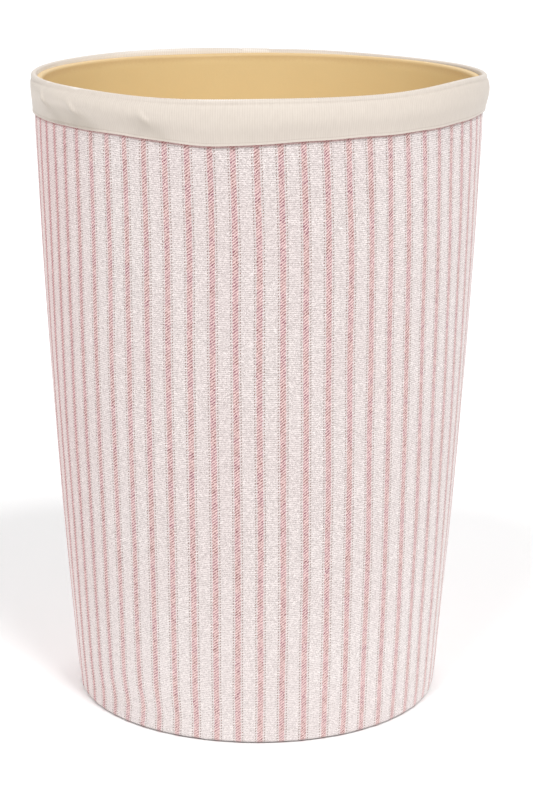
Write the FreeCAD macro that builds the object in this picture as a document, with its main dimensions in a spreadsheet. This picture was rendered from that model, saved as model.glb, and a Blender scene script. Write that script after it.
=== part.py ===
"""A tapered round bin: a rolled board body, lined with paper, padded and covered in cloth.

The origin is the centre of the underside, +Z is up, and the joints of the board, the cover and
the ribbon face +Y, the back. Lengths are in millimetres and angles in degrees.

Each piece is an outline turned about the bin's axis. An outline is a list of corners (radius,
height), written as expressions on the sheet of dimensions, and an arc is a corner, a point that
the arc passes through and the next corner.
"""
import FreeCAD, Part
import os
import Sketcher

DIMENSIONS = {
    "height": 305.0,  # from the floor to the crest of the rim
    "base_radius": 88.7,  # of the cover, taken down to the floor
    "rim_radius": 106.5,  # of the cover, taken up to the crest
    "belly": 2.4,  # how far the cover swells out half way up
    "cloth_gauge": 0.6,
    "hem_width": 12.0,  # of cloth turned under the base
    "fold_radius": 1.0,  # of the cloth where it turns under
    "cloth_lap_angle": 6.0,
    "wadding_gauge": 1.0,  # at the rim and the base, where it is pinched thin
    "board_gauge": 2.4,
    "base_gauge": 3.0,
    "butt_angle": 0.2,  # of the gap between the ends of the rolled board
    "lip_depth": 3.1,  # from the crest down to the top of the board
    "lip_radius": 1.0,  # of the board's inner top edge, rubbed round
    "tape_gauge": 0.25,
    "tape_leg": 12.0,  # of the corner tape, up the wall and along the base
    "wall_tape_angle": 15.0,
    "wall_tape_margin": 7.0,  # from the ends of the wall tape to those of the board
    "lining_gauge": 0.4,
    "lining_lap_angle": 6.0,
    "ribbon_gauge": 0.5,
    "ribbon_drop": 18.5,  # of the ribbon's outer leg, below the crest
    "ribbon_tuck": 5.1,  # of its inner leg, which ends behind the board
    "ribbon_swell": 1.2,  # how far the outer leg stands off the cloth, half way down
    "ribbon_lap_angle": 6.0,
    "underside_gauge": 0.6,
    "underside_margin": 4.0,  # between the underside cover and the cover's edge
}

# Heights of the layers, from the floor up.
HEM_BOTTOM = "dims.underside_gauge"
BOARD_BOTTOM = f"({HEM_BOTTOM} + dims.cloth_gauge)"
BASE_TOP = f"({BOARD_BOTTOM} + dims.base_gauge)"
TAPE_TOP = f"({BASE_TOP} + dims.tape_leg)"
WALL_LINING_BOTTOM = f"({BASE_TOP} + dims.tape_gauge + dims.lining_gauge)"
RIBBON_BOTTOM = "(dims.height - dims.ribbon_drop)"
TUCK_BOTTOM = "(dims.height - dims.ribbon_tuck)"
BOARD_TOP = "(dims.height - dims.lip_depth)"
COVER_TOP = "(dims.height - (dims.cloth_gauge + dims.wadding_gauge + dims.ribbon_gauge) / 2)"

# Depths of the layers' faces below the cover's straight outer cone.
CLOTH_IN = "dims.cloth_gauge"
BOARD_OUT = "(dims.cloth_gauge + dims.wadding_gauge)"
BOARD_IN = f"({BOARD_OUT} + dims.board_gauge)"
LINING_IN = f"({BOARD_IN} + dims.lining_gauge)"

TURN = "360"
ROUND = 0.70710678  # sine and cosine of half a right angle, for the middle of a rounded corner

doc = FreeCAD.newDocument("covered_bin")
sheet = doc.addObject("Spreadsheet::Sheet", "dims")
for row, (alias, size) in enumerate(DIMENSIONS.items(), start=1):
    sheet.set(f"A{row}", str(size))
    sheet.setAlias(f"A{row}", alias)
doc.recompute()


def cone(height, depth="0"):
    """The radius at a height, at a depth below the straight cone."""
    taper = "(dims.rim_radius - dims.base_radius) / dims.height"
    return f"(dims.base_radius + {taper} * ({height}) - ({depth}))"


def swollen(height, depth="0"):
    """The radius at a height, at a depth below the cover's swollen outside."""
    part = f"({height}) / dims.height"
    return f"({cone(height, depth)} + 4 * dims.belly * {part} * (1 - {part}))"


def middle(low, high):
    return f"(({low} + {high}) / 2)"


def corner(radius, height):
    return ("corner", radius, height)


def through(radius, height):
    return ("through", radius, height)


def swollen_side(low, high, depth="0", proud="0"):
    """A side that follows the cover's swell from one height to another."""
    half = middle(low, high)
    return [
        corner(swollen(low, depth), low),
        through(f"({swollen(half, depth)} + {proud})", half),
        corner(swollen(high, depth), high),
    ]


def evaluated(point):
    """A point of an outline as a vector in the sketch."""
    _, radius, height = point
    return FreeCAD.Vector(sheet.evalExpression(radius), sheet.evalExpression(height), 0)


def drive(sketch, name, geometry, vertex, point):
    """Binds one vertex of the sketch to the point's two expressions."""
    _, radius, height = point
    place = evaluated(point)
    for kind, letter, size, expression in (
        ("DistanceX", "r", place.x, radius),
        ("DistanceY", "z", place.y, height),
    ):
        index = sketch.addConstraint(Sketcher.Constraint(kind, -1, 1, geometry, vertex, size))
        sketch.renameConstraint(index, f"{name}_{letter}")
        sketch.setExpression(f"Constraints.{name}_{letter}", expression)


def add_edge(sketch, start, via, end):
    """Adds a line or an arc, and returns its index and its start and end vertices."""
    first, last = evaluated(start), evaluated(end)
    if via is None:
        return sketch.addGeometry(Part.LineSegment(first, last)), 1, 2
    halfway = evaluated(via)
    edge = sketch.addGeometry(Part.Arc(first, halfway, last))
    mark = sketch.addGeometry(Part.Point(halfway), True)
    sketch.addConstraint(Sketcher.Constraint("PointOnObject", mark, 1, edge))
    drive(sketch, f"arc{edge}", mark, 1, via)
    anticlockwise = (halfway - first).cross(last - halfway).z > 0
    return (edge, 1, 2) if anticlockwise else (edge, 2, 1)


def draw(body, name, outline):
    """Draws a closed outline in the body's YZ plane, every corner driven by the sheet."""
    sketch = body.newObject("Sketcher::SketchObject", f"{name}_outline")
    plane = next(item for item in body.Origin.OriginFeatures if item.Role == "YZ_Plane")
    sketch.AttachmentSupport = (plane, "")
    sketch.MapMode = "FlatFace"
    edges = []
    start, via = outline[0], None
    for point in outline[1:] + outline[:1]:
        if point[0] == "through":
            via = point
            continue
        edges.append((add_edge(sketch, start, via, point), start))
        start, via = point, None
    for number, ((edge, first, _), point) in enumerate(edges):
        before, _, last = edges[number - 1][0]
        sketch.addConstraint(Sketcher.Constraint("Coincident", before, last, edge, first))
        drive(sketch, f"corner{number}", edge, first, point)
    return sketch


def turn(body, kind, name, outline, angle=TURN):
    """Turns an outline about the axis, half its angle to each side of +Y."""
    sketch = draw(body, name, outline)
    feature = body.newObject(f"PartDesign::{kind}", name)
    feature.Profile = sketch
    feature.ReferenceAxis = (sketch, ["V_Axis"])
    feature.Midplane = True
    feature.setExpression("Angle", angle)
    doc.recompute()


def piece(label):
    body = doc.addObject("PartDesign::Body", label)
    body.Label = label
    return body


def wall_board():
    """The rolled board. Its outline is turned from +Y, so a half turn puts its joint there."""
    body = piece("wall_board")
    below_lip = f"({BOARD_TOP} - dims.lip_radius)"
    lip_centre = f"({cone(BOARD_TOP, BOARD_IN)} + dims.lip_radius)"
    outline = [
        corner(cone(BOARD_BOTTOM, BOARD_OUT), BOARD_BOTTOM),
        corner(cone(BOARD_TOP, BOARD_OUT), BOARD_TOP),
        corner(lip_centre, BOARD_TOP),
        through(f"({lip_centre} - {ROUND} * dims.lip_radius)",
                f"({below_lip} + {ROUND} * dims.lip_radius)"),
        corner(cone(below_lip, BOARD_IN), below_lip),
        corner(cone(BOARD_BOTTOM, BOARD_IN), BOARD_BOTTOM),
    ]
    turn(body, "Revolution", "rolled_board", outline, f"{TURN} - dims.butt_angle")
    body.Placement.Rotation = FreeCAD.Rotation(FreeCAD.Vector(0, 0, 1), 180)


def wall_tape_outline():
    low = f"({BOARD_BOTTOM} + dims.wall_tape_margin)"
    high = f"({BOARD_TOP} - dims.wall_tape_margin)"
    outside = f"({BOARD_OUT} - dims.tape_gauge)"
    return [
        corner(cone(low, BOARD_OUT), low),
        corner(cone(low, outside), low),
        corner(cone(high, outside), high),
        corner(cone(high, BOARD_OUT), high),
    ]


def wall_joint_tape():
    """Gummed paper tape over the outside of the board's joint."""
    body = piece("wall_joint_tape")
    turn(body, "Revolution", "tape", wall_tape_outline(), "dims.wall_tape_angle")


def base_board():
    """The board disc that fits inside the foot of the wall."""
    body = piece("base_board")
    outline = [
        corner("0", BOARD_BOTTOM),
        corner(cone(BOARD_BOTTOM, BOARD_IN), BOARD_BOTTOM),
        corner(cone(BASE_TOP, BOARD_IN), BASE_TOP),
        corner("0", BASE_TOP),
    ]
    turn(body, "Revolution", "disc", outline)


def base_joint_tape():
    """The ring of tape in the corner between the base and the wall."""
    body = piece("base_joint_tape")
    inside = f"({BOARD_IN} + dims.tape_gauge)"
    tape_face = f"({BASE_TOP} + dims.tape_gauge)"
    leg_end = f"({cone(BASE_TOP, BOARD_IN)} - dims.tape_leg)"
    outline = [
        corner(cone(BASE_TOP, BOARD_IN), BASE_TOP),
        corner(cone(TAPE_TOP, BOARD_IN), TAPE_TOP),
        corner(cone(TAPE_TOP, inside), TAPE_TOP),
        corner(cone(tape_face, inside), tape_face),
        corner(leg_end, tape_face),
        corner(leg_end, BASE_TOP),
    ]
    turn(body, "Revolution", "ring", outline)


def floor_lining():
    """The paper disc on the base, which steps up over the corner tape."""
    body = piece("floor_lining")
    against_wall = f"({BOARD_IN} + dims.tape_gauge)"
    tape_face = f"({BASE_TOP} + dims.tape_gauge)"
    paper_face = f"({BASE_TOP} + dims.lining_gauge)"
    leg_end = f"({cone(BASE_TOP, BOARD_IN)} - dims.tape_leg)"
    outline = [
        corner("0", BASE_TOP),
        corner(leg_end, BASE_TOP),
        corner(leg_end, tape_face),
        corner(cone(tape_face, against_wall), tape_face),
        corner(cone(WALL_LINING_BOTTOM, against_wall), WALL_LINING_BOTTOM),
        corner(f"({leg_end} - dims.lining_gauge)", WALL_LINING_BOTTOM),
        corner(f"({leg_end} - dims.lining_gauge)", paper_face),
        corner("0", paper_face),
    ]
    turn(body, "Revolution", "paper_disc", outline)


def wall_lining():
    """The paper on the wall, turned out over the lip, with a lap joint at the front."""
    body = piece("wall_lining")
    over_tape_out = f"({BOARD_IN} + dims.tape_gauge)"
    over_tape_in = f"({LINING_IN} + dims.tape_gauge)"
    step_top = f"({TAPE_TOP} + dims.lining_gauge)"
    below_lip = f"({BOARD_TOP} - dims.lip_radius)"
    lip_centre = f"({cone(BOARD_TOP, BOARD_IN)} + dims.lip_radius)"
    lip_top = f"({BOARD_TOP} + dims.lining_gauge)"
    outer_radius = "dims.lip_radius"
    inner_radius = "(dims.lip_radius + dims.lining_gauge)"
    outline = [
        corner(cone(WALL_LINING_BOTTOM, over_tape_out), WALL_LINING_BOTTOM),
        corner(cone(TAPE_TOP, over_tape_out), TAPE_TOP),
        corner(cone(TAPE_TOP, BOARD_IN), TAPE_TOP),
        corner(cone(below_lip, BOARD_IN), below_lip),
        through(f"({lip_centre} - {ROUND} * {outer_radius})",
                f"({below_lip} + {ROUND} * {outer_radius})"),
        corner(lip_centre, BOARD_TOP),
        corner(cone(BOARD_TOP, BOARD_OUT), BOARD_TOP),
        corner(cone(lip_top, BOARD_OUT), lip_top),
        corner(lip_centre, lip_top),
        through(f"({lip_centre} - {ROUND} * {inner_radius})",
                f"({below_lip} + {ROUND} * {inner_radius})"),
        corner(cone(below_lip, LINING_IN), below_lip),
        corner(cone(step_top, LINING_IN), step_top),
        corner(cone(step_top, over_tape_in), step_top),
        corner(cone(WALL_LINING_BOTTOM, over_tape_in), WALL_LINING_BOTTOM),
    ]
    turn(body, "Revolution", "paper_wall", outline)
    half_in = f"({LINING_IN} - dims.lining_gauge / 2)"
    lap_in = f"({LINING_IN} + dims.lining_gauge)"
    lap = [
        corner(cone(step_top, half_in), step_top),
        corner(cone(below_lip, half_in), below_lip),
        corner(cone(below_lip, lap_in), below_lip),
        corner(cone(step_top, lap_in), step_top),
    ]
    turn(body, "Revolution", "paper_lap", lap, "dims.lining_lap_angle")
    body.Placement.Rotation = FreeCAD.Rotation(FreeCAD.Vector(0, 0, 1), 180)


def cover_wadding():
    """The soft sheet between the board and the cloth, thickest half way up."""
    body = piece("cover_wadding")
    beside_tuck = f"({BOARD_OUT} - dims.ribbon_gauge)"
    outline = swollen_side(BOARD_BOTTOM, COVER_TOP, CLOTH_IN) + [
        corner(cone(COVER_TOP, beside_tuck), COVER_TOP),
        corner(cone(TUCK_BOTTOM, beside_tuck), TUCK_BOTTOM),
        corner(cone(TUCK_BOTTOM, BOARD_OUT), TUCK_BOTTOM),
        corner(cone(BOARD_BOTTOM, BOARD_OUT), BOARD_BOTTOM),
    ]
    turn(body, "Revolution", "padding", outline)
    turn(body, "Groove", "over_wall_tape", wall_tape_outline(), "dims.wall_tape_angle")


def cover_cloth():
    """The cloth, hemmed under the base, with a lap joint at the back."""
    body = piece("cover_cloth")
    above_fold = f"({HEM_BOTTOM} + dims.fold_radius)"
    fold_centre = f"({swollen(above_fold)} - dims.fold_radius)"
    hem_end = f"({fold_centre} - dims.hem_width)"
    outline = [
        corner(hem_end, HEM_BOTTOM),
        corner(fold_centre, HEM_BOTTOM),
        through(f"({fold_centre} + {ROUND} * dims.fold_radius)",
                f"({above_fold} - {ROUND} * dims.fold_radius)"),
    ]
    outline += swollen_side(above_fold, COVER_TOP)
    outline += reversed(swollen_side(BOARD_BOTTOM, COVER_TOP, CLOTH_IN))
    outline.append(corner(hem_end, BOARD_BOTTOM))
    turn(body, "Revolution", "cloth", outline)
    lap = swollen_side(above_fold, RIBBON_BOTTOM, "-dims.cloth_gauge")
    lap += reversed(swollen_side(above_fold, RIBBON_BOTTOM, "dims.cloth_gauge / 2"))
    turn(body, "Revolution", "cloth_lap", lap, "dims.cloth_lap_angle")


def rim_ribbon():
    """The ribbon folded over the top of the cover, with its inner leg behind the board."""
    body = piece("rim_ribbon")
    beside_wadding = f"({BOARD_OUT} - dims.ribbon_gauge)"
    crest_radius = middle(swollen(COVER_TOP), cone(COVER_TOP, beside_wadding))
    outside, inside = "-dims.ribbon_gauge", "0"
    outline = swollen_side(RIBBON_BOTTOM, COVER_TOP, outside, "dims.ribbon_swell") + [
        through(crest_radius, "dims.height"),
        corner(cone(COVER_TOP, BOARD_OUT), COVER_TOP),
        corner(cone(TUCK_BOTTOM, BOARD_OUT), TUCK_BOTTOM),
        corner(cone(TUCK_BOTTOM, beside_wadding), TUCK_BOTTOM),
        corner(cone(COVER_TOP, beside_wadding), COVER_TOP),
        through(crest_radius, "(dims.height - dims.ribbon_gauge)"),
    ]
    outline += reversed(swollen_side(RIBBON_BOTTOM, COVER_TOP, inside, "dims.ribbon_swell"))
    turn(body, "Revolution", "ribbon", outline)
    lap_outside, lap_inside = "(-2 * dims.ribbon_gauge)", "(-dims.ribbon_gauge / 2)"
    lap = swollen_side(RIBBON_BOTTOM, COVER_TOP, lap_outside, "dims.ribbon_swell")
    lap += reversed(swollen_side(RIBBON_BOTTOM, COVER_TOP, lap_inside, "dims.ribbon_swell"))
    turn(body, "Revolution", "ribbon_lap", lap, "dims.ribbon_lap_angle")


def underside_cover():
    """The disc that hides the hem, and that the bin stands on."""
    body = piece("underside_cover")
    edge = "(dims.base_radius - dims.underside_margin)"
    outline = [
        corner("0", "0"),
        corner(edge, "0"),
        corner(edge, HEM_BOTTOM),
        corner("0", HEM_BOTTOM),
    ]
    turn(body, "Revolution", "disc", outline)


for make in (
    wall_board,
    wall_joint_tape,
    base_board,
    base_joint_tape,
    floor_lining,
    wall_lining,
    cover_wadding,
    cover_cloth,
    rim_ribbon,
    underside_cover,
):
    make()

doc.recompute()
for item in doc.Objects:
    if {"Invalid", "Error"} & set(item.State):
        raise RuntimeError(f"{item.Label} failed: {item.State}")

bodies = [item for item in doc.Objects if item.TypeId == "PartDesign::Body"]
for body in bodies:
    if body.Shape.isNull() or not body.Shape.isValid() or len(body.Shape.Solids) != 1:
        raise RuntimeError(f"{body.Label} isn't one valid solid")

os.makedirs("parts", exist_ok=True)
for body in bodies:
    body.Shape.exportStep(f"parts/{body.Label}.step")
    print(f"{body.Label}: {body.Shape.Volume / 1000:.2f} cm3, {body.Shape.BoundBox}")
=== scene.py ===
import math

import bpy
import numpy as np
from mathutils import Matrix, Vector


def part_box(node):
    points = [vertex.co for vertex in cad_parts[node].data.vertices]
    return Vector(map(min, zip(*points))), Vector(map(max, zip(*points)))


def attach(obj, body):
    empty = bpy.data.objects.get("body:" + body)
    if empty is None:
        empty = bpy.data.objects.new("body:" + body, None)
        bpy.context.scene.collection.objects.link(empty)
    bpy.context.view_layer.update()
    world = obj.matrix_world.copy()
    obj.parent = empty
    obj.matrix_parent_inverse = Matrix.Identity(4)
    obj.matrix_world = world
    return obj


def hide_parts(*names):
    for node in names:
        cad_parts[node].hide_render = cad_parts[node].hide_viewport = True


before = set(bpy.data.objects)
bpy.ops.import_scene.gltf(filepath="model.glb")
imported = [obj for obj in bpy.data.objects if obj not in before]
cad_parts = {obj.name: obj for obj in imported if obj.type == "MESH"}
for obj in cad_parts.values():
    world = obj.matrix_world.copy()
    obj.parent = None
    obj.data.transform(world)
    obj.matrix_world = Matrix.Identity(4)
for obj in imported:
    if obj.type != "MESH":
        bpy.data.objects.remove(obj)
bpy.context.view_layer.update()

MM = 0.001
BACK = math.pi  # angles round the axis run from the front, -Y, towards +X

# ---------------------------------------------------------------- sizes, from the frame

CLOTH_LOW, CLOTH_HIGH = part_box("cover_cloth")
RIBBON_LOW, RIBBON_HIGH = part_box("rim_ribbon")
LINING_LOW, LINING_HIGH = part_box("wall_lining")
BOARD_LOW, BOARD_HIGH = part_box("wall_board")
DISC_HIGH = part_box("underside_cover")[1]
BASE_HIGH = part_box("base_board")[1]

HEIGHT = RIBBON_HIGH.z
COVER_TOP = CLOTH_HIGH.z
CLOTH_GAUGE = 0.6 * MM
RIBBON_GAUGE = 0.5 * MM
LINING_GAUGE = LINING_HIGH.z - BOARD_HIGH.z
SLIP = 0.05 * MM  # clearance between one layer and the next
BELLY = 2.4 * MM  # how far the wadding swells the wall half way up
BASE_RADIUS = DISC_HIGH.x + 4.0 * MM  # of the cover's outside at the foot, as a straight cone
BOARD_DEPTH = 1.6 * MM  # from that cone in to the board's outside
LINING_DEPTH = 4.4 * MM  # from that cone in to the lining's inside


def swell(z):
    """How far the cover stands outside a straight cone."""
    return 4 * BELLY * (z / HEIGHT) * (1 - z / HEIGHT)


TAPER = (CLOTH_HIGH.x - swell(COVER_TOP) - BASE_RADIUS) / COVER_TOP
SLANT = math.sin(math.atan(TAPER))  # radius over the distance from the cone's tip


def cone_radius(z, depth=0.0):
    """The radius of the straight cone, or of one that far inside it."""
    return BASE_RADIUS + TAPER * z - depth


def cover_radius(z):
    """The radius of the cover's outside, with its swell."""
    return cone_radius(z) + swell(z)


# ---------------------------------------------------------------- mesh helpers


def ease(x, start, end):
    """0 before start, 1 after end, and a smooth step between."""
    part = np.clip((x - start) / (end - start), 0.0, 1.0)
    return part * part * (3 - 2 * part)


def degrees_past(angle, centre):
    """How many degrees an angle is past a place round the axis, from -180 to 180."""
    return (np.degrees(angle) - centre + 180) % 360 - 180


def near(angle, centre, reach):
    """1 at a place round the axis, fading to 0 past its reach. Both are in degrees."""
    return np.exp(-((degrees_past(angle, centre) / reach) ** 2))


def ripple(angle, z, seed, turns, pitch, count=14):
    """Smooth uneven waves, from about -1 to 1.

    turns is the most that go round the axis, and pitch is how close together they are up it.
    """
    rng = np.random.default_rng(seed)
    total = 0.0
    for _ in range(count):
        around = rng.integers(turns // 4, turns + 1)
        upward = rng.uniform(-1, 1) * 2 * math.pi / pitch
        total = total + np.sin(around * angle + upward * z + rng.uniform(0, 2 * math.pi))
    return total / math.sqrt(2 * count)


def around_axis(angle, radius, z):
    """Points at angles round the axis, as a grid with x, y and z last."""
    return np.stack(np.broadcast_arrays(radius * np.sin(angle), -radius * np.cos(angle), z), -1)


def quads(index, flip=False):
    """The four-cornered faces of a grid of vertex numbers."""
    corners = [index[:-1, :-1], index[:-1, 1:], index[1:, 1:], index[1:, :-1]]
    if flip:
        corners.reverse()
    return np.stack(corners, -1).reshape(-1, 4)


def mark_cut_edges(mesh, rows, columns):
    """Keeps the edges of a thin sheet's two faces sharp, though the rest is smooth."""
    boundary = np.zeros((rows, columns), bool)
    boundary[[0, -1], :] = True
    boundary[:, [0, -1]] = True
    on_rim = np.tile(boundary.ravel(), 2)
    pairs = np.array([edge.vertices[:] for edge in mesh.edges])
    same_face = (pairs[:, 0] < rows * columns) == (pairs[:, 1] < rows * columns)
    sharp = on_rim[pairs].all(1) & same_face
    mesh.attributes.new("sharp_edge", "BOOLEAN", "EDGE").data.foreach_set("value", sharp)


def note_on(piece, name, values):
    """Stores a number for each point of a thin sheet, on both faces, for its material to read."""
    both = np.tile(values.ravel(), 2)
    piece.data.attributes.new(name, "FLOAT", "POINT").data.foreach_set("value", both)


def thin_sheet(name, middle, gauge, flat, relief=0.0):
    """A thin closed sheet: both faces at half the gauge from a grid of middle points, and the cut edges.

    flat holds where each point lies in the flat sheet, in metres, for the weave. relief lifts the
    front face alone. gauge and relief are one length or a grid of them.
    """
    along = np.gradient(middle, axis=1)
    across = np.gradient(middle, axis=0)
    normal = np.cross(along, across)
    normal /= np.linalg.norm(normal, axis=-1, keepdims=True)
    half, lift = (np.broadcast_to(side, middle.shape[:2])[..., None] for side in (gauge / 2, relief))
    front = middle + normal * (half + lift)
    back = middle - normal * half
    rows, columns = middle.shape[:2]
    first = np.arange(rows * columns).reshape(rows, columns)
    second = first + rows * columns
    rim = [
        np.stack([second[0], first[0]]),
        np.stack([first[-1], second[-1]]),
        np.stack([first[:, 0], second[:, 0]]),
        np.stack([second[:, -1], first[:, -1]]),
    ]
    faces = [quads(first), quads(second, flip=True)] + [quads(strip) for strip in rim]
    faces = np.concatenate(faces)
    places = np.concatenate([front.reshape(-1, 3), back.reshape(-1, 3)])
    mesh = bpy.data.meshes.new(name)
    mesh.from_pydata(places.tolist(), [], faces.tolist())
    mesh.shade_smooth()
    layer = mesh.uv_layers.new(name="flat")
    uv = np.tile(flat.reshape(-1, 2), (2, 1))[faces.ravel()]
    layer.data.foreach_set("uv", uv.ravel())
    mark_cut_edges(mesh, rows, columns)
    piece = bpy.data.objects.new(name, mesh)
    bpy.context.collection.objects.link(piece)
    return piece


def unrolled(angle, away):
    """Where a point lies, that far from the cone's tip, once the cone is cut up the back and laid flat."""
    turn = angle * SLANT
    return np.stack([away * np.sin(turn), away * np.cos(turn) - HEIGHT / SLANT], -1)


def ribbon_edge(angle):
    """The height of the ribbon's lower edge, which was laid by hand."""
    dip = 2.9 * MM * near(angle, -11, 18)
    climb = 1.9 * MM * near(angle, 75, 32)
    tremor = 0.15 * MM * ripple(angle, 0.0, 11, 24, 1.0)
    return RIBBON_LOW.z + 0.7 * MM - dip + climb + tremor


# ---------------------------------------------------------------- the striped cover

LAP = 14.0 * MM
TURNED_IN = 6.0 * MM  # of the lap's outer end, folded back under itself
FOLD_RADIUS = 1.0 * MM
HEM = 12.0 * MM
COLUMN_STEP = 2.0 * MM
ROW_STEP = 3.0 * MM


def lap_columns():
    """The cover's columns, from the lap's under end once round to its over end, which is folded under.

    Each has an angle, a distance past it, how far the flat cloth runs past it, and how far it stands out.
    """
    half = LAP / 2
    folded = half - 0.4 * MM  # where the over end turns back
    whole = 2 * math.pi * RIBBON_HIGH.x
    under = [(-BACK, -e, -e, 0.0) for e in np.arange(half, 0, -MM)]
    round_once = np.linspace(-BACK, BACK, int(whole / COLUMN_STEP))
    main = [(a, 0.0, 0.0, 0.0) for a in round_once[:-5]]
    before = np.arange(-8.0 * MM, folded, 0.5 * MM)  # closer columns, in place of the last five
    step = CLOTH_GAUGE + SLIP
    raised = step * (ease(before, -half - 2.5 * MM, -half) + ease(before, -0.5 * MM, 1.5 * MM))
    over = [(BACK, e, e, lift) for e, lift in zip(before, raised)]
    fold = []
    for turn in np.linspace(-0.5, 0.5, 7) * math.pi:
        past = folded + step / 2 * math.cos(turn)
        run = half + step / 2 * (turn + math.pi / 2)
        fold.append((BACK, past, run, step * (1.5 - 0.5 * math.sin(turn))))
    inward = np.arange(half - MM, half - TURNED_IN, -MM)
    tucked = [(BACK, e, 2 * half - e + MM, step) for e in inward]
    return np.array(under + main + over + fold + tucked).T


def strayed(angle, z):
    """How far the stripes lie to the right of their true line, where the cloth was pulled as it was glued.

    They lean over the upper half, stray on the left, and bend just above the foot at the front left.
    """
    twist = 0.65 * MM - 1.05 * MM * ease(z, 70 * MM, 215 * MM) - 2.2 * MM * ease(z, 225 * MM, 320 * MM)
    left = 2.6 * MM * ease(-angle, 0.5, 1.3) * (1 - 0.5 * ease(z, 90 * MM, 150 * MM))
    bent = 2.2 * MM * near(angle, -46, 22) * np.exp(-(((z - 11 * MM) / (9 * MM)) ** 2))
    return twist + left + bent + 0.15 * MM * ripple(angle, z, 4, 30, 60 * MM)


def make_cover():
    """The ticking, from its edge behind the ribbon down the wall, round the foot and in under the base."""
    base, past, run, lift = lap_columns()

    # The rows go down the wall, round the foot and inwards.
    low = CLOTH_LOW.z + CLOTH_GAUGE / 2
    side = np.arange(COVER_TOP, low + FOLD_RADIUS, -ROW_STEP)
    turns = np.linspace(0, math.pi / 2, 6)
    inward = np.linspace(0, HEM, 6)[1:]
    z = np.concatenate([side, low + FOLD_RADIUS * (1 - np.sin(turns)), np.full(inward.size, low)])
    fold_in = np.concatenate([0 * side, FOLD_RADIUS * (1 - np.cos(turns)), FOLD_RADIUS + inward])
    hem_run = np.concatenate([0 * side, FOLD_RADIUS * turns, FOLD_RADIUS * math.pi / 2 + inward])
    z, fold_in, hem_run = (row[:, None] for row in (z, fold_in, hem_run))
    radius = cover_radius(np.maximum(z, low + FOLD_RADIUS)) - CLOTH_GAUGE / 2 - fold_in
    angle = base + past / radius

    # The cloth is slack on the wall, puckered under the ribbon and pinched at the foot.
    flatness = ease(COVER_TOP - z, 10 * MM, 30 * MM) * ease(z, 2 * MM, 12 * MM)
    soft = 0.20 * MM * (1 + ripple(angle, z, 3, 26, 90 * MM)) * flatness
    pucker = 0.10 * MM * (1 + ripple(angle, z, 5, 130, 60 * MM)) * ease(z, 255 * MM, 300 * MM)
    pinch = 0.10 * MM * (1 + ripple(angle, z, 8, 90, 50 * MM)) * ease(-z, -40 * MM, -3 * MM)
    hemmed = ease(fold_in, 0, FOLD_RADIUS)
    proud = (soft + pucker + pinch) * (1 - hemmed) + lift * (1 - 0.85 * hemmed)
    facing = np.minimum(fold_in / FOLD_RADIUS, 1.0) * math.pi / 2
    middle = around_axis(angle, radius + proud * np.cos(facing), z - proud * np.sin(facing))

    slope = cone_radius(np.maximum(z, low)) / SLANT - hem_run
    flat = unrolled(base + run / radius, slope)
    flat[..., 0] -= strayed(base, z)
    cover = thin_sheet("striped_cover", middle[::-1], CLOTH_GAUGE, flat[::-1])
    note_on(cover, "below_ribbon", ((ribbon_edge(angle) - z) / MM)[::-1])
    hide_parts("cover_cloth")
    return cover


# ---------------------------------------------------------------- the wadding under the cover


def make_wadding():
    """The soft sheet between the board and the cloth, thinned at its top and bottom edges."""
    joint = 0.4 * MM / BASE_RADIUS  # half the gap at the back, where its ends meet edge to edge
    angle = np.linspace(-BACK + joint, BACK - joint, 260)[None, :]
    bottom, top = BOARD_LOW.z, COVER_TOP - 1.6 * MM
    z = np.concatenate([
        bottom + np.array([0, 0.4, 1.2]) * MM,
        np.linspace(bottom + 4 * MM, top - 4 * MM, 50),
        top - np.array([1.6, 0.6, 0]) * MM,
    ])[:, None]
    thin = 0.35 * MM * (ease(-z, -bottom - 1.2 * MM, -bottom) + ease(z, top - 1.6 * MM, top))
    tuft = 0.12 * MM * (1 + ripple(angle, z, 31, 200, 12 * MM))
    inside = cone_radius(z, BOARD_DEPTH) + thin
    outside = cover_radius(z) - CLOTH_GAUGE - SLIP - thin - tuft
    middle = around_axis(angle, (inside + outside) / 2, z)
    flat = unrolled(angle, cone_radius(z) / SLANT)
    wadding = thin_sheet("side_wadding", middle, outside - inside, flat)
    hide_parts("cover_wadding")
    return wadding


# ---------------------------------------------------------------- the ribbon round the rim

RIB = 1.05 * MM
RIB_DEPTH = 0.07 * MM
SELVAGE_DEPTH = 0.12 * MM
RIBBON_WIDTH = 25.0 * MM
PRESSED_GAUGE = 0.3 * MM  # of each layer where the ribbon's ends are glued over each other
RIBBON_LAP = 12.0 * MM
RIBBON_END = math.radians(185)  # the outer end of the lap, at the back and a little to the left
STAND = 0.65 * MM  # of the outer leg's edge off the cover
TUCK = 4.05 * MM  # of the inner leg, below the cover's top

# Each pucker's place in degrees round the rim, share of the leg's height, half length, width and height,
# and then how strong the painted shade on its left is, and how far that reaches.
PUCKERS = (
    (-63.0, 0.62, 4.5 * MM, 3.0 * MM, 1.4 * MM, 0.40, 4.0 * MM),
    (-48.8, 0.50, 5.0 * MM, 4.2 * MM, 1.8 * MM, 0.60, 24.0 * MM),
    (-27.2, 0.54, 4.0 * MM, 3.0 * MM, 1.4 * MM, 0.50, 8.0 * MM),
    (-152.0, 0.50, 4.0 * MM, 2.6 * MM, 0.8 * MM, 0.30, 3.0 * MM),
    (112.0, 0.55, 5.0 * MM, 3.0 * MM, 0.8 * MM, 0.30, 3.0 * MM),
)
PUCKER_LEAN = 0.75  # to the right for each unit down


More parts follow.
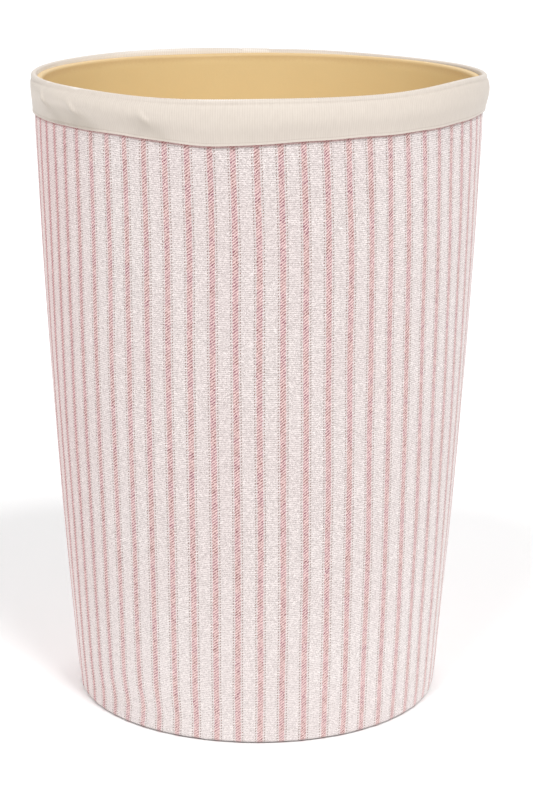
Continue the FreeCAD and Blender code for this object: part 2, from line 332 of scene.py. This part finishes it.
def puckers(angle, leg, rim):
    """How far the soft diagonal puckers stand out of the outer leg, and how much painted shade lies by
    them.

    A pucker rises gently on its left, drops back steeply on its right, and fades out along its length.
    """
    proud, pucker_shade = 0.0, 0.0
    crisp = 0.6 * MM  # how far the painted shade fades on the pucker's right
    for place, share, reach, width, height, strength, spread in PUCKERS:
        down = (share - leg) * (RIBBON_WIDTH - TUCK)
        aside = degrees_past(angle, place) * math.pi / 180 * rim
        off = (aside - PUCKER_LEAN * down) / math.hypot(1, PUCKER_LEAN)
        run = (down + PUCKER_LEAN * aside) / math.hypot(1, PUCKER_LEAN)
        left = off < 0
        here = np.exp(-((run / reach) ** 2))
        ridge = np.exp(-((off / np.where(left, width, width / 2.5)) ** 2))
        patch = np.exp(-((off / np.where(left, spread, crisp + 4.0 * MM * (1 - here))) ** 2))
        crease = np.exp(-((off / np.where(left, width, crisp)) ** 2))
        proud = proud + height * ridge * here
        lower = ease(share + 0.14 - leg, 0, 0.24)  # the painted shade patch is on the leg's lower part
        # Painted shade: a patch on the pucker's lower left and a line along its crease.
        pucker_shade = pucker_shade + strength * (0.85 * patch * lower + 0.5 * crease * here)
    return proud, np.minimum(pucker_shade, 1.0)


def crest_lift(angle):
    """How high the ribbon's fold starts, from the cover's top edge."""
    front = -0.25 * MM - 1.1 * MM * near(angle, -22, 19) + 2.4 * MM * near(angle, 60, 20)
    rear = 0.6 * MM * near(angle, -150, 28) - 0.9 * MM * near(angle, 135, 28)
    return front + rear - 0.4 * MM * near(angle, 179, 9)


def outer_leg_radius(angle, leg, z, over, crest):
    """The radius of the outer leg, which bulges and hangs slack in places.

    leg runs from 0 at the lower edge to 1 at the fold, and over is how far the lap lifts it.
    """
    bulge = 1.6 * MM + 0.2 * MM * np.sin(angle) + 0.25 * MM * ripple(angle, 0.0, 12, 12, 1.0)
    bulge = bulge - 1.1 * MM * near(angle, -95, 30) - 0.5 * MM * near(angle, 92, 26)
    slack = 2.6 * MM * near(angle, -51, 21)
    groove = 0.45 * MM * np.exp(-(((crest - z) / MM - 0.9) / 0.6) ** 2)  # just under the fold
    radius = cover_radius(z) + RIBBON_GAUGE / 2 + STAND + over + bulge * np.sin(math.pi * leg**1.35)
    radius = radius + slack * (np.sin(math.pi * leg**2.2) - 0.6 * np.sin(math.pi * leg**0.6))
    return radius - groove


def make_ribbon():
    """The ribbon's outer leg from its lower edge up, the fold over the rim, and the leg tucked inside."""
    rim = cover_radius(COVER_TOP)
    lap_start = RIBBON_END - RIBBON_LAP / rim
    angle = np.arange(lap_start - 2 * math.pi, RIBBON_END, RIB / 2 / rim)[None, :]

    # At the lap the ribbon is pressed thinner, and its outer end climbs over the inner one.
    over = ease(angle, lap_start - 4 * MM / rim, lap_start - 0.5 * MM / rim)
    ends = ease(angle, lap_start - 2 * MM / rim, lap_start)
    ends = ends + ease(-angle, 2 * math.pi - RIBBON_END - 2 * MM / rim, 2 * math.pi - RIBBON_END)
    gauge = RIBBON_GAUGE - (RIBBON_GAUGE - PRESSED_GAUGE) * ends
    over = over * (PRESSED_GAUGE + SLIP)

    # The rows go up the outer leg, over the fold and down inside.
    edge, lift = ribbon_edge(angle), crest_lift(angle)
    crest = COVER_TOP + lift
    selvage, upper = [0, 0.02, 0.045, 0.07], [0.92, 0.95, 0.98]  # rows closer together at both edges
    leg = np.concatenate([selvage, np.linspace(0.12, 0.88, 17), upper])[:, None]
    turn = np.linspace(0, math.pi, 6)[:, None]
    inner = np.array([0.3, 1.0])[:, None]
    z_leg = edge + (crest - edge) * leg
    proud, pucker_shade = puckers(angle, leg, rim)
    r_leg = outer_leg_radius(angle, leg, z_leg, over, crest) + proud
    pulled = 0.4 * MM * near(angle, 108, 24)  # outwards, on the right
    inside = cone_radius(COVER_TOP, BOARD_DEPTH) + RIBBON_GAUGE / 2 - over + pulled
    outside = cover_radius(crest) + RIBBON_GAUGE / 2 + STAND + over
    half = (outside - inside) / 2
    z_turn = crest + half * np.sin(turn)
    r_turn = (outside + inside) / 2 + half * np.cos(turn)
    z_inner = crest - (lift + TUCK) * inner
    r_inner = inside - TAPER * (COVER_TOP - z_inner)
    z = np.concatenate([z_leg, z_turn, z_inner])
    radius = np.concatenate([r_leg, r_turn, r_inner])
    middle = around_axis(angle, radius, z)

    steps = np.linalg.norm(np.diff(middle, axis=0), axis=-1)
    across = np.concatenate([0 * angle, np.cumsum(steps, axis=0)])
    length = (angle - angle[0, 0]) * rim + 0 * across
    flat = np.stack([length, across], -1)
    ribbed = ease(across, 0.5 * MM, 1.0 * MM)  # past the smooth selvage
    relief = RIB_DEPTH * np.cos(2 * math.pi * length / RIB) * ribbed
    relief = relief + SELVAGE_DEPTH * (1 - ribbed)
    ribbon = thin_sheet("rim_binding", middle, gauge, flat, relief)
    # The painted shade by the puckers, for the ribbon's material.
    note_on(ribbon, "pucker_shade", np.concatenate([pucker_shade, np.zeros((turn.size + inner.size, angle.size))]))
    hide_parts("rim_ribbon")
    return ribbon


# ---------------------------------------------------------------- the paper inside the wall

PAPER_LAP = 10.0 * MM
LIP_RADIUS = 1.3 * MM + LINING_GAUGE / 2  # of the paper's turn over the board's top edge
LIP_Z = BOARD_HIGH.z - 1.0 * MM  # where that turn starts
STEP_Z = BASE_HIGH.z + 12.4 * MM  # where it steps back to the wall, above the tape round the base
TAPE_STEP = 0.25 * MM


def make_lining():
    """The wall's paper, from the floor up the wall, round the lip and out over the board's top edge."""
    depth = LINING_DEPTH - LINING_GAUGE / 2
    wall = np.concatenate([
        np.linspace(LINING_LOW.z, STEP_Z, 6),
        np.linspace(STEP_Z + 0.5 * MM, LIP_Z - 6 * MM, 60),
        np.linspace(LIP_Z - 5 * MM, LIP_Z, 6)[:-1],
    ])
    turn = np.linspace(0, math.pi / 2, 8)
    lip_centre = cone_radius(LIP_Z, depth) + LIP_RADIUS
    outer = cone_radius(BOARD_HIGH.z, BOARD_DEPTH) - SLIP
    flange = np.linspace(lip_centre, outer, 4)[1:]
    z = np.concatenate([wall, LIP_Z + LIP_RADIUS * np.sin(turn), np.full(flange.size, LIP_Z + LIP_RADIUS)])
    radius = np.concatenate([
        cone_radius(wall, depth) - TAPE_STEP * ease(-wall, -STEP_Z, -STEP_Z + 0.4 * MM),
        lip_centre - LIP_RADIUS * np.cos(turn),
        flange,
    ])
    whole = int(2 * math.pi * outer / (2.2 * MM))
    angle = np.concatenate([
        np.linspace(-2 * math.pi, 0, whole)[:-2],
        np.arange(-3 * MM, PAPER_LAP, 0.5 * MM) / outer,  # closer columns at the lap
    ])[None, :]
    z, radius = z[:, None], radius[:, None]
    over = ease(angle, -1.5 * MM / outer, 0.5 * MM / outer) * (LINING_GAUGE + SLIP)
    below_lip = ease(LIP_Z - z, 0, 3 * MM)
    above_floor = ease(z, LINING_LOW.z, LINING_LOW.z + 10 * MM)
    wave = 0.12 * MM * (1 + ripple(angle, z, 21, 20, 120 * MM)) * above_floor * below_lip
    middle = around_axis(angle, radius - wave - over * below_lip, z)
    rise = 0.45 * MM - 0.4 * MM * near(angle, -162, 16)  # of the lip, which dips at the back left
    middle[..., 2] += over * (1 - below_lip) + rise * ease(z, LIP_Z - 6 * MM, LIP_Z)
    run = np.concatenate([[0], np.cumsum(np.hypot(np.diff(radius[:, 0]), np.diff(z[:, 0])))])
    flat = np.stack(np.broadcast_arrays(angle * outer, run[:, None]), -1)
    lining = thin_sheet("wall_paper", middle[:, ::-1], LINING_GAUGE, flat[:, ::-1])
    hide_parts("wall_lining")
    return lining


# ---------------------------------------------------------------- materials


class Material:
    """A procedural material. Its methods add nodes and return the sockets they make."""

    def __init__(self, name, **constants):
        self.material = bpy.data.materials.new(name)
        self.material.use_nodes = True
        self.tree = self.material.node_tree
        self.shader = self.tree.nodes["Principled BSDF"]
        for socket, value in constants.items():
            self.shader.inputs[socket.replace("_", " ")].default_value = value

    def node(self, kind, inputs, output, **settings):
        """Adds a node, feeds its inputs by number or name, and returns one output."""
        node = self.tree.nodes.new(kind)
        for setting, value in settings.items():
            setattr(node, setting, value)
        for key, value in inputs.items():
            self.feed(node.inputs[key], value)
        return node.outputs[output]

    def feed(self, socket, value):
        """Links a socket to another, or gives it a constant."""
        if isinstance(value, bpy.types.NodeSocket):
            self.tree.links.new(value, socket)
        else:
            socket.default_value = value

    def math(self, operation, *values):
        """Arithmetic on sockets and numbers."""
        return self.node("ShaderNodeMath", dict(enumerate(values)), 0, operation=operation)

    def flat(self):
        """Where the point lies across and along the flat sheet, in millimetres."""
        uv = self.node("ShaderNodeUVMap", {}, "UV", uv_map="flat")
        split = self.tree.nodes.new("ShaderNodeSeparateXYZ")
        self.tree.links.new(uv, split.inputs[0])
        return [self.math("MULTIPLY", split.outputs[i], 1000.0) for i in range(2)]

    def place(self, x, y):
        """A vector in the plane of the flat sheet."""
        return self.node("ShaderNodeCombineXYZ", {0: x, 1: y}, 0)

    def in_object(self, scale=(1000.0, 1000.0, 1000.0)):
        """The point's place on the piece itself, in millimetres unless the scale stretches it."""
        where = self.node("ShaderNodeTexCoord", {}, "Object")
        return self.node("ShaderNodeMapping", {"Vector": where, "Scale": scale}, 0)

    def noise(self, vector, scale, detail=2.0, roughness=0.5):
        """Smooth noise from 0 to 1, with about that many waves to each unit of the vector."""
        inputs = {"Vector": vector, "Scale": scale, "Detail": detail, "Roughness": roughness}
        return self.node("ShaderNodeTexNoise", inputs, 0)

    def ramp(self, value, low, high, start=0.0, end=1.0):
        """A smooth step from start to end, as the value goes from low to high."""
        inputs = {0: value, 1: low, 2: high, 3: start, 4: end}
        return self.node("ShaderNodeMapRange", inputs, 0, interpolation_type="SMOOTHSTEP")

    def yarns(self, across, along, wide, long):
        """A number from 0 to 1 for each short length of yarn, that wide and that long."""
        snapped = [self.math("SNAP", across, wide), self.math("SNAP", along, long)]
        where = self.place(*snapped)
        return self.node("ShaderNodeTexWhiteNoise", {"Vector": where}, "Value", noise_dimensions="2D")

    def wave(self, value, pitch, low, high):
        """Repeats from 0 to 1 at that pitch, as a sine goes from low to high."""
        sine = self.math("SINE", self.math("MULTIPLY", value, 2 * math.pi / pitch))
        return self.ramp(sine, low, high)

    def mix(self, factor, first, second):
        """A colour between two others."""
        node = self.tree.nodes.new("ShaderNodeMix")
        node.data_type = "RGBA"
        for key, value in ((0, factor), (6, first), (7, second)):
            self.feed(node.inputs[key], value)
        return node.outputs[2]

    def bump(self, height, distance):
        inputs = {"Height": height, "Distance": distance, "Strength": 1.0}
        self.feed(self.shader.inputs["Normal"], self.node("ShaderNodeBump", inputs, 0))

    def colour(self, socket):
        """Colours the shader, and returns the finished material."""
        self.feed(self.shader.inputs["Base Color"], socket)
        return self.material


def srgb(red, green, blue):
    """A colour given in ordinary screen values above 10, for a socket."""
    return (*(((value / 255 + 0.055) / 1.055) ** 2.4 for value in (red, green, blue)), 1.0)


# The weave's sizes are in millimetres of the flat cloth.
STRIPE_PITCH = 10.2
STRIPE_HALF = 1.25  # half the width of the coral band
STRIPE_START = 0.9  # of the middle of the band at the front, to the right of the front plane
PIN_OFFSET = 2.1  # of the pin line on each side, from the band's middle
PICK = 1.41  # from one slanting stroke of the band to the next
THREAD = PICK / 3  # the width of a thread up the cloth
WEFT = PICK / 1.5  # from one thread to the next up the ground
STROKE_SLOPE = 0.81  # how far a stroke climbs for each millimetre across


def ticking():
    """The striped cloth: coral twill bands between dotted pin lines, on an off-white ground."""
    soft = dict(Roughness=0.92, Diffuse_Roughness=1.0, Sheen_Weight=0.12, Sheen_Roughness=0.5)
    cloth = Material("ticking", **soft)
    across, along = cloth.flat()
    place = cloth.place(across, along)
    across = cloth.math("SUBTRACT", across, STRIPE_START)
    off = cloth.math("WRAP", across, STRIPE_PITCH / 2, -STRIPE_PITCH / 2)
    away = cloth.math("ABSOLUTE", off)
    fleck = cloth.yarns(across, along, THREAD, THREAD / 1.5)
    below = cloth.node("ShaderNodeAttribute", {}, "Fac", attribute_name="below_ribbon")

    # The colours are deeper at the back and on the two sides, most of all on the left.
    left = cloth.ramp(across, -65.0, -150.0)
    left = cloth.math("MULTIPLY", left, cloth.ramp(across, -300.0, -170.0, 0.5, 1.0))
    right = cloth.ramp(across, 90.0, 170.0, 0.0, 0.5)
    deeper_sides = cloth.math("ADD", left, right)

    # The coral band has frayed edges and slanting strokes, which show wear in places.
    # They are painted fainter towards the foot, as light from the floor's bounce.
    fray = cloth.math("MULTIPLY_ADD", cloth.noise(place, 1.5, 2.0), 1.7, -0.85)
    band = cloth.ramp(cloth.math("ADD", away, fray), STRIPE_HALF + 0.25, STRIPE_HALF - 0.15)
    stepped = cloth.math("MULTIPLY_ADD", cloth.math("SNAP", off, THREAD), -STROKE_SLOPE, along)
    uneven = cloth.math("MULTIPLY_ADD", cloth.noise(place, 1.1, 2.0), 1.3, stepped)
    stroke = cloth.wave(uneven, PICK, -0.75, 0.35)
    wear_and_foot_light = cloth.ramp(cloth.noise(place, 0.22, 3.0, 0.7), 0.3, 0.7, 0.65, 1.0)
    float_tone = cloth.math("MULTIPLY_ADD", fleck, 1.1, 0.35)
    # Painted light from the floor fades the strokes towards the foot.
    wear_and_foot_light = cloth.math("MULTIPLY", wear_and_foot_light, cloth.ramp(below, 180.0, 270.0, 1.0, 0.82))
    strength = cloth.math("MULTIPLY", cloth.math("MULTIPLY", stroke, wear_and_foot_light), float_tone)
    deep = cloth.math("MULTIPLY", deeper_sides, 0.65)
    between = cloth.mix(deep, srgb(245, 219, 216), srgb(224, 148, 150))
    hue = cloth.ramp(cloth.noise(place, 0.13, 2.0), 0.4, 0.6)
    float_colour = cloth.mix(hue, srgb(150, 104, 100), srgb(152, 96, 112))
    float_colour = cloth.mix(deep, float_colour, srgb(180, 102, 108))
    coral = cloth.mix(strength, between, float_colour)

    # Each pin line is a row of dots, some of them faint.
    lean = cloth.math("MULTIPLY_ADD", off, -STROKE_SLOPE, along)
    dot = cloth.wave(lean, PICK, 0.0, 0.6)
    line = cloth.ramp(cloth.math("ABSOLUTE", cloth.math("SUBTRACT", away, PIN_OFFSET)), 0.36, 0.16)
    uneven_dot = cloth.math("MULTIPLY", dot, cloth.math("MULTIPLY_ADD", fleck, 1.1, 0.3))
    pin = cloth.math("MULTIPLY", line, uneven_dot)

    # The ground is a grain of wefts and flecks with faint blotches.
    # It is painted paler towards the foot, as light from the floor's bounce.
    jogged = cloth.math("MULTIPLY_ADD", cloth.noise(place, 1.3, 2.0), 1.2, along)
    weft = cloth.wave(jogged, WEFT, -1.0, 1.0)
    grain = cloth.math("MULTIPLY_ADD", weft, 0.4, cloth.math("MULTIPLY", fleck, 0.6))
    shade = cloth.mix(grain, srgb(189, 178, 176), srgb(255, 248, 246))
    blotch = cloth.ramp(cloth.noise(place, 0.02, 3.0), 0.35, 0.65, 0.0, 0.12)
    ground = cloth.mix(blotch, shade, srgb(218, 198, 198))
    ground = cloth.mix(cloth.math("MULTIPLY", deeper_sides, 0.35), ground, srgb(232, 192, 188))
    # Painted light from the floor pales the ground towards the foot.
    ground = cloth.mix(cloth.ramp(below, 180.0, 270.0, 0.0, 0.14), ground, srgb(255, 252, 250))

    striped = cloth.mix(band, ground, coral)
    pinned = cloth.mix(pin, striped, srgb(138, 100, 86))

    # A reddish painted shadow lies just under the ribbon's edge.
    edge_shadow = cloth.ramp(below, 1.3, 0.7, 0.0, 0.45)
    edge_shadow = cloth.math("MULTIPLY", edge_shadow, cloth.ramp(below, -1.5, -1.0))
    edge_shaded = cloth.mix(edge_shadow, pinned, srgb(188, 110, 108))
    raised = cloth.math("MULTIPLY", stroke, band)
    height = cloth.math("ADD", grain, raised)
    cloth.bump(height, 0.10 * MM)
    return cloth.colour(edge_shaded)


def ribbon_weave():
    """The grosgrain: ribs across it, slubbed yarns, a smooth selvage and stains, with painted shade and
    painted light.
    """
    ribbon = Material("ribbon", Roughness=0.62, Sheen_Weight=0.15, Sheen_Roughness=0.5)
    along, across = ribbon.flat()
    place = ribbon.place(along, across)
    rib = ribbon.wave(ribbon.math("ADD", along, RIB / MM / 4), RIB / MM, 0.3, -1.0)
    yarn = ribbon.wave(across, 0.4, -1.0, 1.0)
    slub = ribbon.noise(ribbon.place(along, ribbon.math("MULTIPLY", across, 0.2)), 1.0, 3.0, 0.6)
    tone = ribbon.mix(slub, srgb(210, 199, 188), srgb(226, 216, 205))

    # Painted shade greys the outer leg low down, and painted light whitens it from the crest of the fold
    # inwards.
    lower_shade = ribbon.ramp(across, 10.5, 5.0, 0.0, 0.22)
    tone = ribbon.mix(lower_shade, tone, srgb(196, 186, 177))
    # Painted light whitens the ribbon from the crest inwards.
    inner_light = ribbon.ramp(across, 19.4, 20.9, 0.0, 0.85)
    tone = ribbon.mix(inner_light, tone, srgb(247, 242, 235))

    # The ribs stop at the outer selvage, and a thin painted shadow line lies just past its raised edge.
    woven = ribbon.ramp(across, 0.9, 1.1)
    # The grooves between the ribs are painted darker, as shade.
    groove = ribbon.math("MULTIPLY", ribbon.math("MULTIPLY", rib, woven), 0.2)
    ribbed = ribbon.mix(groove, tone, srgb(188, 174, 160))
    from_shadow_line = ribbon.math("ABSOLUTE", ribbon.math("SUBTRACT", across, 1.15))
    shadow_line = ribbon.ramp(from_shadow_line, 0.35, 0.05, 0.0, 0.3)
    edged = ribbon.mix(shadow_line, ribbed, srgb(176, 162, 150))

    stain = ribbon.ramp(ribbon.noise(place, 0.035, 3.0), 0.45, 0.75, 0.0, 0.25)
    aged = ribbon.mix(stain, edged, srgb(218, 207, 194))
    # Painted shade by the puckers darkens the ribbon.
    pucker_shade = ribbon.node("ShaderNodeAttribute", {}, "Fac", attribute_name="pucker_shade")
    painted_shade = ribbon.mix(pucker_shade, aged, srgb(185, 175, 163))
    ribbon.bump(ribbon.math("MULTIPLY_ADD", yarn, 0.25, slub), 0.05 * MM)
    return ribbon.colour(painted_shade)


def lining_paper():
    """The tan paper inside, mottled and slightly glossy, and painted darker over the lip as shade against
    the top light.
    """
    paper = Material("lining")
    where = paper.in_object()
    height = paper.tree.nodes.new("ShaderNodeSeparateXYZ")
    paper.feed(height.inputs[0], where)
    mottle = paper.noise(where, 0.02, 4.0, 0.6)
    fibre = paper.noise(where, 0.9, 3.0, 0.7)
    tone = paper.mix(mottle, srgb(234, 207, 152), srgb(241, 217, 164))
    tinted = paper.mix(paper.math("MULTIPLY", fibre, 0.3), tone, srgb(230, 200, 146))
    lip = (LINING_HIGH.z - LINING_GAUGE) / MM
    # Painted shade darkens the paper over the lip, which catches the top light.
    scuffs_and_lip_shade = paper.math("MULTIPLY_ADD", fibre, 2.0, height.outputs[2])
    painted_shade = paper.ramp(scuffs_and_lip_shade, lip - 3.0, lip + 1.5, 0.0, 0.7)
    gloss = paper.ramp(fibre, 0.3, 0.7, 0.45, 0.6)
    paper.feed(paper.shader.inputs["Roughness"], gloss)
    paper.bump(fibre, 0.04 * MM)
    return paper.colour(paper.mix(painted_shade, tinted, srgb(212, 180, 130)))


def fibre_board():
    """Grey-brown board in thin layers, with darker flecks."""
    board = Material("board", Roughness=0.85)
    where = board.in_object()
    fleck = board.ramp(board.noise(where, 0.8, 4.0, 0.7), 0.45, 0.6)
    layer = board.noise(board.in_object((200.0, 200.0, 4000.0)), 1.0, 2.0)
    tone = board.mix(layer, srgb(150, 138, 118), srgb(176, 162, 140))
    board.bump(fleck, 0.06 * MM)
    return board.colour(board.mix(board.math("MULTIPLY", fleck, 0.5), tone, srgb(120, 108, 92)))


def gummed_tape():
    """Brown gummed tape, streaked up its height."""
    tape = Material("tape", Roughness=0.45)
    where = tape.in_object()
    streak = tape.noise(tape.in_object((3000.0, 3000.0, 120.0)), 1.0, 3.0)
    tone = tape.mix(streak, srgb(186, 150, 104), srgb(206, 172, 126))
    tape.bump(tape.noise(where, 1.4, 3.0), 0.03 * MM)
    return tape.colour(tone)


def wadding_felt():
    """Off-white felted wadding."""
    felt = Material("wadding", Roughness=0.95, Sheen_Weight=0.3)
    where = felt.in_object()
    tuft = felt.noise(where, 0.35, 5.0, 0.75)
    felt.bump(tuft, 0.5 * MM)
    return felt.colour(felt.mix(tuft, srgb(222, 218, 208), srgb(246, 243, 236)))


def underside_paper():
    """The plain paper under the base, scuffed in patches."""
    paper = Material("underside", Roughness=0.8)
    where = paper.in_object()
    fibre = paper.noise(where, 0.7, 5.0, 0.7)
    scuffs_and_lip_shade = paper.ramp(paper.noise(where, 0.06, 5.0, 0.7), 0.5, 0.75)
    tone = paper.mix(fibre, srgb(206, 198, 182), srgb(224, 217, 203))
    paper.bump(fibre, 0.05 * MM)
    return paper.colour(paper.mix(paper.math("MULTIPLY", scuffs_and_lip_shade, 0.5), tone, srgb(170, 160, 144)))


def dress(piece, material):
    """Gives a piece, or a CAD node, one material."""
    if not piece.material_slots:
        piece.data.materials.append(material)
    for slot in piece.material_slots:
        slot.link = "OBJECT"
        slot.material = material


# ---------------------------------------------------------------- floor, light and camera


def make_floor():
    """A plain pale floor."""
    half = 12.0  # of its width, in metres
    mesh = bpy.data.meshes.new("floor")
    corners = [(-half, -half, 0), (half, -half, 0), (half, half, 0), (-half, half, 0)]
    mesh.from_pydata(corners, [], [(0, 1, 2, 3)])
    floor = bpy.data.objects.new("floor", mesh)
    bpy.context.collection.objects.link(floor)
    pale = Material("floor", Roughness=0.9)
    grain = pale.noise(pale.in_object(), 0.01, 4.0)
    dress(floor, pale.colour(pale.mix(grain, srgb(253, 253, 253), srgb(255, 255, 255))))


def soft_sun(name, aside, height, strength, spread):
    """A broad even light, so many degrees to the right of the front and above the floor, and so wide."""
    data = bpy.data.lights.new(name, "SUN")
    data.energy, data.angle = strength, math.radians(spread)
    lamp = bpy.data.objects.new(name, data)
    lamp.rotation_euler = (math.radians(90 - height), 0, math.radians(aside))
    bpy.context.collection.objects.link(lamp)


def light_studio():
    """White light from all round, two high lights in front, two low at the sides and two behind."""
    world = bpy.data.worlds.new("studio")
    world.use_nodes = True
    world.node_tree.nodes["Background"].inputs["Color"].default_value = (1.0, 1.0, 1.0, 1.0)
    world.node_tree.nodes["Background"].inputs["Strength"].default_value = 0.46
    bpy.context.scene.world = world
    soft_sun("key", 28, 52, 1.38, 14)
    soft_sun("fill", -26, 52, 0.94, 14)
    soft_sun("right_side", 82, 1, 0.14, 4)
    soft_sun("left_side", -82, 1, 0.16, 4)
    soft_sun("rear_right", 158, 38, 0.42, 24)
    soft_sun("rear_left", -168, 38, 0.42, 24)


EYE = (0, -1.0609, 0.4223)  # the photograph's viewpoint, fitted to the rim, the foot and both sides
PITCH, YAW, ROLL = math.radians(14.67), 0.0040, 0.0046  # down, right and round the line of sight
LENS = 100.66  # in millimetres, for film that is 36 on its longer side


def place_camera():
    """The photograph's view."""
    data = bpy.data.cameras.new("camera")
    data.sensor_width, data.lens = 36.0, LENS
    camera = bpy.data.objects.new("camera", data)
    turn = Matrix.Rotation(-YAW, 4, "Z") @ Matrix.Rotation(math.pi / 2 - PITCH, 4, "X")
    camera.matrix_world = Matrix.Translation(EYE) @ turn @ Matrix.Rotation(ROLL, 4, "Z")
    bpy.context.collection.objects.link(camera)
    bpy.context.scene.camera = camera


place_camera()
light_studio()
make_floor()

cover = make_cover()
ribbon = make_ribbon()
lining = make_lining()
wadding = make_wadding()
paper = lining_paper()
dress(cover, ticking())
dress(ribbon, ribbon_weave())
dress(lining, paper)
dress(wadding, wadding_felt())
dress(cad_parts["floor_lining"], paper)
board, tape = fibre_board(), gummed_tape()
for node, material in (
    ("wall_board", board),
    ("base_board", board),
    ("wall_joint_tape", tape),
    ("base_joint_tape", tape),
    ("underside_cover", underside_paper()),
):
    dress(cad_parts[node], material)

for piece in (cover, ribbon, lining, wadding):
    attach(piece, "root")

bpy.context.scene.view_settings.view_transform = "Standard"
bpy.context.scene.cycles.denoising_prefilter = "NONE"  # keeps the weave, which the others smooth away
